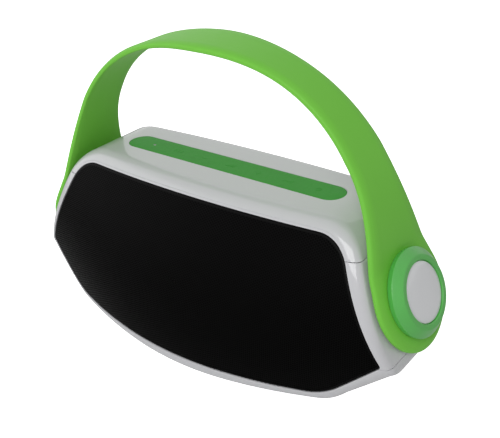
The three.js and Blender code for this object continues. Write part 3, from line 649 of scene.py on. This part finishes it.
def stadium(grow, steps=32):
    # the strip's outline: its ends are half circles
    k = keypad
    radius, reach = k["halfWidth"] + grow, k["halfLength"] - k["halfWidth"]
    turns = [-math.pi / 2 + math.pi * i / steps for i in range(steps + 1)]
    right = [(reach + radius * math.cos(a), k["y"] + radius * math.sin(a)) for a in turns]
    left = [(-x, 2 * k["y"] - y) for x, y in right]
    return right + left


def buildShells():
    rings = bodySkin()
    half, beyond = body["gap"] / 2, 300
    upper, lower = body["upperSeam"], body["lowerSeam"]
    top = cutSkin("topShell", rings, upper + half, beyond)
    seatGap, cutReach = keypad["seatGap"], 9
    floor = body["top"] - keypad["depth"] - seatGap
    carve(top, prism("seat", stadium(seatGap), floor, body["top"] + cutReach))
    dress(smooth(top), white, "white_shell", "speaker", "top_shell")
    bottom = cutSkin("bottomShell", rings, -beyond, lower - half)
    dress(smooth(bottom), white, "white_shell", "speaker", "bottom_shell")
    for side, word in bothSides:
        cap = cutSkin(f"endCap_{word}", rings, lower + half, upper - half, side)
        dress(smooth(cap), white, "white_shell", "speaker", f"end_cap_{word}")


buildShells()
print("shells made")


def keyMiddle(i):
    return keypad["lampX"] + keypad["pitch"] * (i + 1)


def keyOutline(i, grow, steps=8):
    k = keypad
    x = keyMiddle(i)
    radius = k["keyCorner"] + grow
    reachX, reachY = k["keyX"] / 2 - k["keyCorner"], k["keyY"] / 2 - k["keyCorner"]
    points = []
    for quarter, (u, v) in enumerate(((1, 1), (-1, 1), (-1, -1), (1, -1))):
        for step in range(steps + 1):
            angle = math.pi / 2 * (quarter + step / steps)
            across = x + u * reachX + radius * math.cos(angle)
            points.append((across, k["y"] + v * reachY + radius * math.sin(angle)))
    return points


def openRing(outer, inner, start=0.6, sweep=5.083, steps=14):
    # a flat ring with a gap at its top
    turns = [start + sweep * k / steps for k in range(steps + 1)]
    inside = [(inner * math.sin(a), inner * math.cos(a)) for a in reversed(turns)]
    return [(outer * math.sin(a), outer * math.cos(a)) for a in turns] + inside


# faint raised signs as outlines from the middle of each key
signs = {
    "previous": [
        [(0.2, 0), (3, 1.7), (3, -1.7)],
        [(-2.8, 0), (0, 1.7), (0, -1.7)],
        [(-3.6, 1.7), (-3, 1.7), (-3, -1.7), (-3.6, -1.7)],
    ],
    "minus": [[(-2, 0.35), (2, 0.35), (2, -0.35), (-2, -0.35)]],
    "play": [
        [(-3, 1.7), (0, 0), (-3, -1.7)],
        [(1, 1.7), (1.8, 1.7), (1.8, -1.7), (1, -1.7)],
        [(2.6, 1.7), (3.4, 1.7), (3.4, -1.7), (2.6, -1.7)],
    ],
    "plus": [[(-2, 0.35), (-0.35, 0.35), (-0.35, 2), (0.35, 2), (0.35, 0.35), (2, 0.35),
              (2, -0.35), (0.35, -0.35), (0.35, -2), (-0.35, -2), (-0.35, -0.35), (-2, -0.35)]],
    "next": [
        [(-0.2, 0), (-3, 1.7), (-3, -1.7)],
        [(2.8, 0), (0, 1.7), (0, -1.7)],
        [(3.6, 1.7), (3, 1.7), (3, -1.7), (3.6, -1.7)],
    ],
    "power": [[(-0.3, 2.2), (0.3, 2.2), (0.3, 0.3), (-0.3, 0.3)], openRing(2, 1.4)],
}


def buildKeypad():
    k, top, cutReach = keypad, body["top"], 5
    edge = k["edge"] + [(0, -k["depth"])]
    rings = [[(x, y, top + h) for x, y in stadium(-inwards)] for inwards, h in edge]
    strip = orient(makeObject("keypadStrip", *skin(rings, closedEnds=True)))
    holes = [keyOutline(i, k["keyGap"]) for i in range(len(signs))]
    holes.append(disc(k["lampX"], k["y"], k["lampRadius"] + k["lampGap"]))
    for hole in holes:
        carve(strip, prism("hole", hole, top - cutReach, top + cutReach))
    dress(smooth(strip), keyGreen, "keypad_rubber", "speaker", "keypad_strip")
    for i, (name, shapes) in enumerate(signs.items()):
        key = prism(f"key_{name}_cap", keyOutline(i, 0), top - k["depth"], top)
        raised = []
        for shape in shapes:
            moved = [(keyMiddle(i) + u, k["y"] + v) for u, v in shape]
            raised.append(prism("sign", moved, top - k["signRoot"], top + k["signHeight"]))
        joinMeshes(key, raised)
        dress(smooth(key, 25), keyGreen, "keypad_rubber", f"key_{name}", f"key_{name}")
    tip = disc(k["lampX"], k["y"], k["lampRadius"])
    lamp = prism("statusLamp", tip, top - k["depth"], top - k["lampSunk"])
    dress(smooth(lamp, 25), lens, "clear_lens", "speaker", "status_lens")


buildKeypad()
print("keypad made")

# strap: two halves of one moulding, each from its hub to the crown
strap = {
    "thickness": 4.0, "padRadius": 34, "straight": 21.8, "leave": 13.9, "crownZ": 198.2, "shoulderX": 114.5,
    "crownHalf": 18.9, "waistHalf": 15.1, "waistAt": 138, "flareStart": 14.3, "flareEnd": 86.5,
    # edge of the section as (inset, height): a faint step on the outer face, a soft chamfer, a round
    "edge": [(3.1, 2.0), (2.75, 1.85), (2.5, 1.8), (1.5, 1.5), (0.85, 1.2), (0.35, 0.8), (0.06, 0.4),
             (0, 0.1), (0, -1.0), (0.12, -1.45), (0.45, -1.82), (0.95, -2.0)],
    "bendFrom": 38, "bendTo": 84, "pinHole": 6.2, "pinReach": 9,
}
legAlong = Vector((-math.sin(tilt), math.cos(tilt)))
legOut = Vector((math.cos(tilt), math.sin(tilt)))
hubPoint = Vector((body["hubX"], body["hubZ"]))
strapStart = hubPoint - legOut * strap["thickness"] / 2


def archPoint(t):
    a = strapStart + legAlong * strap["straight"]
    b = a + legAlong * strap["leave"]
    c, d = Vector((strap["shoulderX"], strap["crownZ"])), Vector((0, strap["crownZ"]))
    u = 1 - t
    return a * u ** 3 + b * 3 * u * u * t + c * 3 * u * t * t + d * t ** 3


archSteps = 400
archTable = [archPoint(k / archSteps) for k in range(archSteps + 1)]
archLengths = [0.0]
for near, far in zip(archTable, archTable[1:]):
    archLengths.append(archLengths[-1] + (far - near).length)
strapLength = strap["straight"] + archLengths[-1]


def strapPlace(s):
    # point of the strap's middle line at the length s from the hub, and its outward normal
    if s <= strap["straight"]:
        return strapStart + legAlong * s, legOut
    left = min(s - strap["straight"], archLengths[-1])
    i = max(next(k for k, length in enumerate(archLengths) if length >= left), 1)
    share = (left - archLengths[i - 1]) / (archLengths[i] - archLengths[i - 1])
    point = archTable[i - 1].lerp(archTable[i], share)
    t = (i - 1 + share) / archSteps
    look = 0.002
    ahead, behind = archPoint(min(t + look, 1)), archPoint(t - look)
    along = (ahead - behind).normalized()
    if t >= 1 - look:
        along = Vector((-1, 0))  # exactly level where the two halves meet
    return point, Vector((along.y, -along.x))


def legHalf(s):
    t = (s - strap["waistAt"]) / (strapLength - strap["waistAt"])
    share = t * t if t < 0 else t * t * (5 - 2 * t ** 3) / 3  # level at the crown
    return strap["waistHalf"] + (strap["crownHalf"] - strap["waistHalf"]) * share


def strapHalf(s):
    # a cubic leaves the pad's circle along its tangent and meets the leg's own width
    flare, radius = math.radians(strap["flareStart"]), strap["padRadius"]
    start = radius * math.sin(flare)
    if s >= strap["flareEnd"]:
        return legHalf(s)
    t = (s - start) / (strap["flareEnd"] - start)
    slope = -math.tan(flare) * (strap["flareEnd"] - start)
    low, lean, high = 2 * t ** 3 - 3 * t ** 2 + 1, t ** 3 - 2 * t ** 2 + t, 3 * t ** 2 - 2 * t ** 3
    return low * radius * math.cos(flare) + lean * slope + high * legHalf(strap["flareEnd"])


def strapOutline():
    # (length, half width) from the bottom of the pad up to the crown, with the inward normal at each
    flare, radius = math.radians(strap["flareStart"]), strap["padRadius"]
    start = radius * math.sin(flare)
    padSteps, legSteps = 40, 130
    turns = [(-math.pi / 2) + (math.pi / 2 + flare) * k / padSteps for k in range(padSteps + 1)]
    points = [Vector((radius * math.sin(a), radius * math.cos(a))) for a in turns]
    for k in range(1, legSteps + 1):
        s = start + (strapLength - start) * k / legSteps
        points.append(Vector((s, strapHalf(s))))
    normals = []
    for i, point in enumerate(points):
        if i <= padSteps:
            normals.append(-point.normalized())
        else:
            along = (points[min(i + 1, len(points) - 1)] - points[i - 1]).normalized()
            normals.append(Vector((along.y, -along.x)))
    normals[0], normals[-1] = Vector((1, 0)), Vector((0, -1))
    return points, normals


def buildStrapHalf(side, word):
    # half of the moulding from the pad's foot to the crown
    points, normals = strapOutline()
    across = 8
    rings = []
    for point, normal in zip(points, normals):
        right = []
        for inwards, height in strap["edge"]:
            moved = point + normal * inwards
            right.append((moved.x, max(moved.y, 0.0), height))
        outer, inner = right[0], right[-1]
        loop = right + [(inner[0], inner[1] * (1 - 2 * k / across), inner[2]) for k in range(1, across)]
        loop += [(s, -w, h) for s, w, h in reversed(right)]
        loop += [(outer[0], -outer[1] * (1 - 2 * k / across), outer[2]) for k in range(1, across)]
        ring = []
        for s, w, h in loop:
            spot, out = strapPlace(s)
            ring.append((side * (spot.x + out.x * h), w, spot.y + out.y * h))
        rings.append(ring)
    half = makeObject(f"strapHalf_{word}", *skin(rings, closedEnds=True))
    orient(half)
    radius, reach = strap["pinHole"], strap["pinReach"]
    pin = turned("pin", [(0, -reach), (radius, -reach), (radius, reach), (0, reach)], 48)
    carve(half, place(pin, onHub(side)))
    smooth(half, 40)
    stoodFor = [f"strap_end_{word}"] + (["strap_band"] if side > 0 else [])
    half.data.materials.append(strapGreen)
    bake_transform(half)
    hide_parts(*stoodFor)


# hub: a green cap on the strap's pad with a white badge sunk in it
hub = {
    "radius": 26.2, "base": 0.35, "undercut": 0.7, "shoulder": 3.7, "height": 8.0, "bevel": 4.85,
    "ring": 18.1, "seat": 6.2, "hollow": 11.5, "hollowTop": 3.8,
    "footRound": 0.3, "shoulderRound": 0.7, "faceRound": 1.4, "ringRound": 0.45, "seatRound": 0.2,
    "badge": 17.7, "badgeLift": 0.02, "badgeEdge": 7.0, "badgeCrown": 7.7,
    "badgeRim": [(0, -0.35), (0.1, -0.1), (0.4, 0)],  # (inset, height from the badge's edge)
}


def onHub(side):
    # from the hub's own axes, +Z outwards, to its place on the speaker
    turn = Matrix.Rotation(side * (math.pi / 2 - tilt), 4, "Y")
    return Matrix.Translation((side * body["hubX"] * mm, hubY * mm, body["hubZ"] * mm)) @ turn


def buildHub(side, word):
    h = hub
    cap = softProfile([
        (0, h["hollowTop"], 0),
        (h["hollow"], h["hollowTop"], 0),
        (h["hollow"], h["base"], h["footRound"]),
        (h["radius"] - h["undercut"], h["base"], h["footRound"]),
        (h["radius"], h["shoulder"], h["shoulderRound"]),
        (h["radius"] - h["bevel"], h["height"], h["faceRound"]),
        (h["ring"], h["height"], h["ringRound"]),
        (h["ring"], h["seat"], h["seatRound"]),
        (0, h["seat"], 0),
    ])
    piece = place(turned(f"hubCap_{word}", cap, 128), onHub(side))
    dress(smooth(piece, 50), hubGreen, "hub_green", f"strap_{word}", f"hub_cap_{word}")
    foot = h["seat"] + h["badgeLift"]
    badge = [(0, foot), (h["badge"], foot)]
    badge += [(h["badge"] - inwards, h["badgeEdge"] + up) for inwards, up in h["badgeRim"]]
    reach, rise, domeSteps = badge[-1][0], h["badgeCrown"] - h["badgeEdge"], 8
    for k in range(1, domeSteps + 1):
        share = 1 - k / domeSteps
        badge.append((reach * share, h["badgeEdge"] + rise * (1 - share ** 2)))
    piece = place(turned(f"hubBadge_{word}", badge, 128), onHub(side))
    dress(smooth(piece, 50), lacquer, "white_shell", f"strap_{word}", f"hub_badge_{word}")


for side, word in bothSides:
    buildStrapHalf(side, word)
    buildHub(side, word)
print("strap and hubs made")


def frontSheet(name, depth):
    # one face sheet over the front surface, reaching a little past the grille's outline
    columns, rows = 120, 60
    reach, low, high = grille["sheetReach"], grille["sheetLow"], grille["sheetHigh"]
    points, faces = [], []
    for j in range(rows + 1):
        for i in range(columns + 1):
            x = -reach + 2 * reach * i / columns
            z = low + (high - low) * j / rows
            points.append((x, frontY(x, z) + depth, z))
    for j in range(rows):
        for i in range(columns):
            a = j * (columns + 1) + i
            faces.append((a, a + 1, a + columns + 2, a + columns + 1))
    return makeObject(name, points, faces)


def perforationTree():
    # nodes that fill an outline with hexagonal cells and press them onto a curved sheet
    tree = bpy.data.node_groups.new("perforation", "GeometryNodeTree")
    face = tree.interface
    face.new_socket("Geometry", in_out="OUTPUT", socket_type="NodeSocketGeometry")
    sockets = {
        "Outline": "Object", "Surface": "Object", "Pitch": "Float", "Open share": "Float",
        "Width": "Float", "Height": "Float", "Centre": "Vector", "Material": "Material",
    }
    for name, kind in sockets.items():
        face.new_socket(name, in_out="INPUT", socket_type="NodeSocket" + kind)
    given = addNode(tree, "NodeGroupInput").outputs
    pitch = given["Pitch"]

    def calc(operation, *values):
        return addNode(tree, "ShaderNodeMath", dict(enumerate(values)), operation=operation).outputs[0]

    # cells in upright columns, every second column moved up by half a pitch
    columnStep = calc("MULTIPLY", pitch, math.sqrt(3) / 2)
    columns = calc("FLOOR", calc("DIVIDE", given["Width"], columnStep))
    rows = calc("FLOOR", calc("DIVIDE", given["Height"], pitch))
    width = calc("MULTIPLY", calc("SUBTRACT", columns, 1), columnStep)
    grid = addNode(tree, "GeometryNodeMeshGrid", {
        "Size X": width, "Size Y": calc("MULTIPLY", calc("SUBTRACT", rows, 1), pitch),
        "Vertices X": columns, "Vertices Y": rows})
    at = addNode(tree, "ShaderNodeSeparateXYZ", {0: addNode(tree, "GeometryNodeInputPosition").outputs[0]})
    fromLeft = calc("ADD", at.outputs["X"], calc("MULTIPLY", width, 0.5))
    column = calc("ROUND", calc("DIVIDE", fromLeft, columnStep))
    shift = calc("MULTIPLY", calc("MODULO", column, 2), calc("MULTIPLY", pitch, 0.5))
    upright = addNode(tree, "ShaderNodeCombineXYZ", {
        "X": at.outputs["X"], "Y": 0.0, "Z": calc("ADD", at.outputs["Y"], shift)})
    placed = addNode(tree, "ShaderNodeVectorMath", {
        0: upright.outputs[0], 1: given["Centre"]}, operation="ADD")
    standing = addNode(tree, "GeometryNodeSetPosition", {
        "Geometry": grid.outputs["Mesh"], "Position": placed.outputs[0]})

    now = addNode(tree, "GeometryNodeInputPosition").outputs[0]
    ahead = addNode(tree, "ShaderNodeVectorMath", {0: now, 1: (0, -1, 0)}, operation="ADD").outputs[0]

    def strike(name):
        # a ray from in front of each point, going back onto the named object
        target = addNode(tree, "GeometryNodeObjectInfo", {"Object": given[name]}, transform_space="RELATIVE")
        return addNode(tree, "GeometryNodeRaycast", {
            "Target Geometry": target.outputs["Geometry"], "Source Position": ahead,
            "Ray Direction": (0, 1, 0), "Ray Length": 4.0})

    # only cells whose middle is inside the outline
    inside = strike("Outline")
    outside = addNode(tree, "FunctionNodeBooleanMath", {0: inside.outputs["Is Hit"]}, operation="NOT")
    kept = addNode(tree, "GeometryNodeDeleteGeometry", {
        "Geometry": standing.outputs[0], "Selection": outside.outputs[0]}, domain="POINT")

    # one cell: a hexagonal web round a hole
    blank = addNode(tree, "GeometryNodeMeshCircle", {
        "Vertices": 6, "Radius": calc("DIVIDE", pitch, math.sqrt(3))}, fill_type="NGON")
    web = addNode(tree, "GeometryNodeExtrudeMesh", {
        "Mesh": blank.outputs[0], "Offset Scale": 0.0}, mode="FACES")
    hole = addNode(tree, "GeometryNodeScaleElements", {
        "Geometry": web.outputs["Mesh"], "Selection": web.outputs["Top"], "Scale": given["Open share"]})
    pierced = addNode(tree, "GeometryNodeDeleteGeometry", {
        "Geometry": hole.outputs[0], "Selection": web.outputs["Top"]}, domain="FACE", mode="ONLY_FACE")

    # cells face the front: their +Z turns to -Y
    cells = addNode(tree, "GeometryNodeInstanceOnPoints", {
        "Points": kept.outputs[0], "Instance": pierced.outputs[0], "Rotation": (math.pi / 2, 0, 0)})
    sheet = addNode(tree, "GeometryNodeRealizeInstances", {"Geometry": cells.outputs[0]})
    merged = addNode(tree, "GeometryNodeMergeByDistance", {
        "Geometry": sheet.outputs[0], "Distance": calc("MULTIPLY", pitch, 0.02)})

    # pressed onto the curved front
    struck = strike("Surface")
    parts = addNode(tree, "ShaderNodeSeparateXYZ", {0: now})
    depth = addNode(tree, "ShaderNodeCombineXYZ", {"X": 0.0, "Y": parts.outputs["Y"], "Z": 0.0})
    pressed = addNode(tree, "ShaderNodeVectorMath", {
        0: struck.outputs["Hit Position"], 1: depth.outputs[0]}, operation="ADD")
    shaped = addNode(tree, "GeometryNodeSetPosition", {
        "Geometry": merged.outputs[0], "Position": pressed.outputs[0]})
    final = addNode(tree, "GeometryNodeSetMaterial", {
        "Geometry": shaped.outputs[0], "Material": given["Material"]})
    addNode(tree, "NodeGroupOutput", {0: final.outputs[0]})
    return tree


def runTree(name, tree, values):
    # a piece made by a node tree from its named inputs
    piece = bpy.data.objects.new(name, bpy.data.meshes.new(name))
    scene.collection.objects.link(piece)
    modifier = piece.modifiers.new("nodes", "NODES")
    modifier.node_group = tree
    for item in tree.interface.items_tree:
        if item.item_type == "SOCKET" and item.in_out == "INPUT" and item.name in values:
            modifier[item.identifier] = values[item.name]
    return bakeModifiers(piece)


def buildGrille():
    # perforated sheet on a smooth solid rim, with a near-black sheet behind it as painted shade of the
    # speaker's inside
    g = grille
    surface = frontSheet("surface", g["rise"])
    border = bowEnds(outline(inset(grilleCorners(), g["border"])))
    flat = makeObject("flat", [(x, 0, z) for x, z in border], [tuple(range(len(border)))])
    sheet = runTree("grilleSheet", perforationTree(), {
        "Outline": flat, "Surface": surface, "Pitch": g["pitch"] * mm, "Open share": g["openShare"],
        "Width": g["fieldWidth"] * mm, "Height": g["fieldHeight"] * mm,
        "Centre": (0.0, 0.0, g["fieldZ"] * mm), "Material": meshBlack})
    print("grille sheet:", len(sheet.data.polygons), "faces")
    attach(sheet, "speaker")
    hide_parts("front_grille")
    bpy.data.objects.remove(flat)
    bpy.data.objects.remove(surface)

    edge = orient(makeObject("grilleRim", *skin([grilleRing(*ring) for ring in g["rimEdge"]])))
    dress(smooth(edge, 50), meshBlack, "grille_metal", "speaker", "front_grille")

    # a near-black sheet behind the holes: painted shade of the speaker's dark inside
    shadeSheetEdge = outline(inset(grilleCorners(), g["shadeSheetInset"]))
    rings = [over(shrinkTo(shadeSheetEdge, share), frontY, g["shadeSheet"]) for share in g["shadeSheetShares"]]
    shadeSheet = makeObject("grilleCloth", *skin(rings))
    dress(orient(shadeSheet), shadeSheetBlack, "black_plastic", "speaker")


buildGrille()
print("grille made")

# carried-over pieces take a finish by the start of their names, the rear panel the body's white
finishes = [
    ("front_baffle", black), ("foot", rubber), ("port_cover", rubber), ("driver_surround", rubber),
    ("driver_cone", cone), ("driver", dark), ("pivot_nut", dark), ("pivot_pin", zinc),
    ("rear_screw", zinc), ("baffle_screw", zinc), ("charge", zinc), ("line_in", black),
    ("main_board", board), ("keypad_board", board), ("port_board", board), ("battery", wrap),
]
for name, node in nodes.items():
    finish = next((m for start, m in finishes if name.startswith(start)), white)
    node.data.materials.clear()
    node.data.materials.append(finish)

# camera: its place in metres, and its own right, up and back
view = {
    "location": (0.30885, -0.33915, 0.32823), "lens": 57.85, "sensor": 36.0,
    "turn": ((0.78804, 0.61244, -0.06254), (-0.24856, 0.40947, 0.87781), (0.56322, -0.67621, 0.47490)),
}
# light and floor in metres; each lamp has its place, the size of its panel and its power
stage = {
    "lampsAim": (0, 0, 0.09), "ambient": 0.3, "backdrop": 1.0,
    "floorReach": 3.0, "floorGrey": 0.9, "floorRoughness": 0.9, "floorGlow": 1.0,
    "lamps": {
        "keyLamp": ((0.35, -1.0, 1.0), (0.8, 0.8), 9.7),
        "fillLamp": ((-1.1, -0.5, 0.6), (1.0, 1.0), 2.5),
        "topLamp": ((0.2, 0.5, 1.3), (1.2, 0.8), 0.8),
    },
}


def makeCamera():
    data = bpy.data.cameras.new("camera")
    data.lens = view["lens"]
    data.sensor_width = view["sensor"]
    camera = bpy.data.objects.new("camera", data)
    scene.collection.objects.link(camera)
    turn = Matrix(view["turn"]).transposed()
    camera.matrix_world = Matrix.Translation(Vector(view["location"])) @ turn.to_4x4()
    scene.camera = camera


def makeLamp(name, spot, size, power):
    data = bpy.data.lights.new(name, "AREA")
    data.shape = "RECTANGLE"
    data.size, data.size_y = size
    data.energy = power
    lamp = bpy.data.objects.new(name, data)
    scene.collection.objects.link(lamp)
    lamp.location = spot
    aim = Vector(stage["lampsAim"]) - Vector(spot)
    lamp.rotation_euler = aim.to_track_quat("-Z", "Y").to_euler()


def makeWorld():
    # white where it is seen straight, mirrored or through the lens, a softer light on everything else
    world = bpy.data.worlds.new("studio")
    scene.world = world
    world.use_nodes = True
    tree = world.node_tree
    tree.nodes.clear()
    path = addNode(tree, "ShaderNodeLightPath")
    seen = addNode(tree, "ShaderNodeMath", {
        0: path.outputs["Is Camera Ray"], 1: path.outputs["Is Glossy Ray"]}, operation="MAXIMUM")
    seen = addNode(tree, "ShaderNodeMath", {
        0: seen.outputs[0], 1: path.outputs["Is Transmission Ray"]}, operation="MAXIMUM")
    ambient = addNode(tree, "ShaderNodeBackground", {
        "Color": (1, 1, 1, 1), "Strength": stage["ambient"]})
    backdrop = addNode(tree, "ShaderNodeBackground", {
        "Color": (1, 1, 1, 1), "Strength": stage["backdrop"]})
    mixed = addNode(tree, "ShaderNodeMixShader", {
        0: seen.outputs[0], 1: ambient.outputs[0], 2: backdrop.outputs[0]})
    addNode(tree, "ShaderNodeOutputWorld", {"Surface": mixed.outputs[0]})


def makeFloor():
    # white paper: it glows pure white to the camera, and is plain paper to every other ray
    reach, grey = stage["floorReach"], stage["floorGrey"]
    corners = [(-reach, -reach, 0), (reach, -reach, 0), (reach, reach, 0), (-reach, reach, 0)]
    floor = linkMesh("floor", corners, [(0, 1, 2, 3)])
    material, tree, shader, _ = startMaterial("paperFloor")
    setShader(shader, Roughness=stage["floorRoughness"], Base_Color=(grey, grey, grey, 1))
    path = addNode(tree, "ShaderNodeLightPath")
    glow = addNode(tree, "ShaderNodeEmission", {
        "Color": (1, 1, 1, 1), "Strength": stage["floorGlow"]})
    both = addNode(tree, "ShaderNodeAddShader", {0: shader.outputs[0], 1: glow.outputs[0]})
    out = tree.nodes["Material Output"]
    choose = addNode(tree, "ShaderNodeMixShader", {
        0: path.outputs["Is Camera Ray"], 1: shader.outputs[0], 2: both.outputs[0]})
    tree.links.new(choose.outputs[0], out.inputs["Surface"])
    floor.data.materials.append(material)


makeCamera()
makeWorld()
makeFloor()
for name, values in stage["lamps"].items():
    makeLamp(name, *values)
scene.view_settings.view_transform = "Standard"
print("camera and light made")
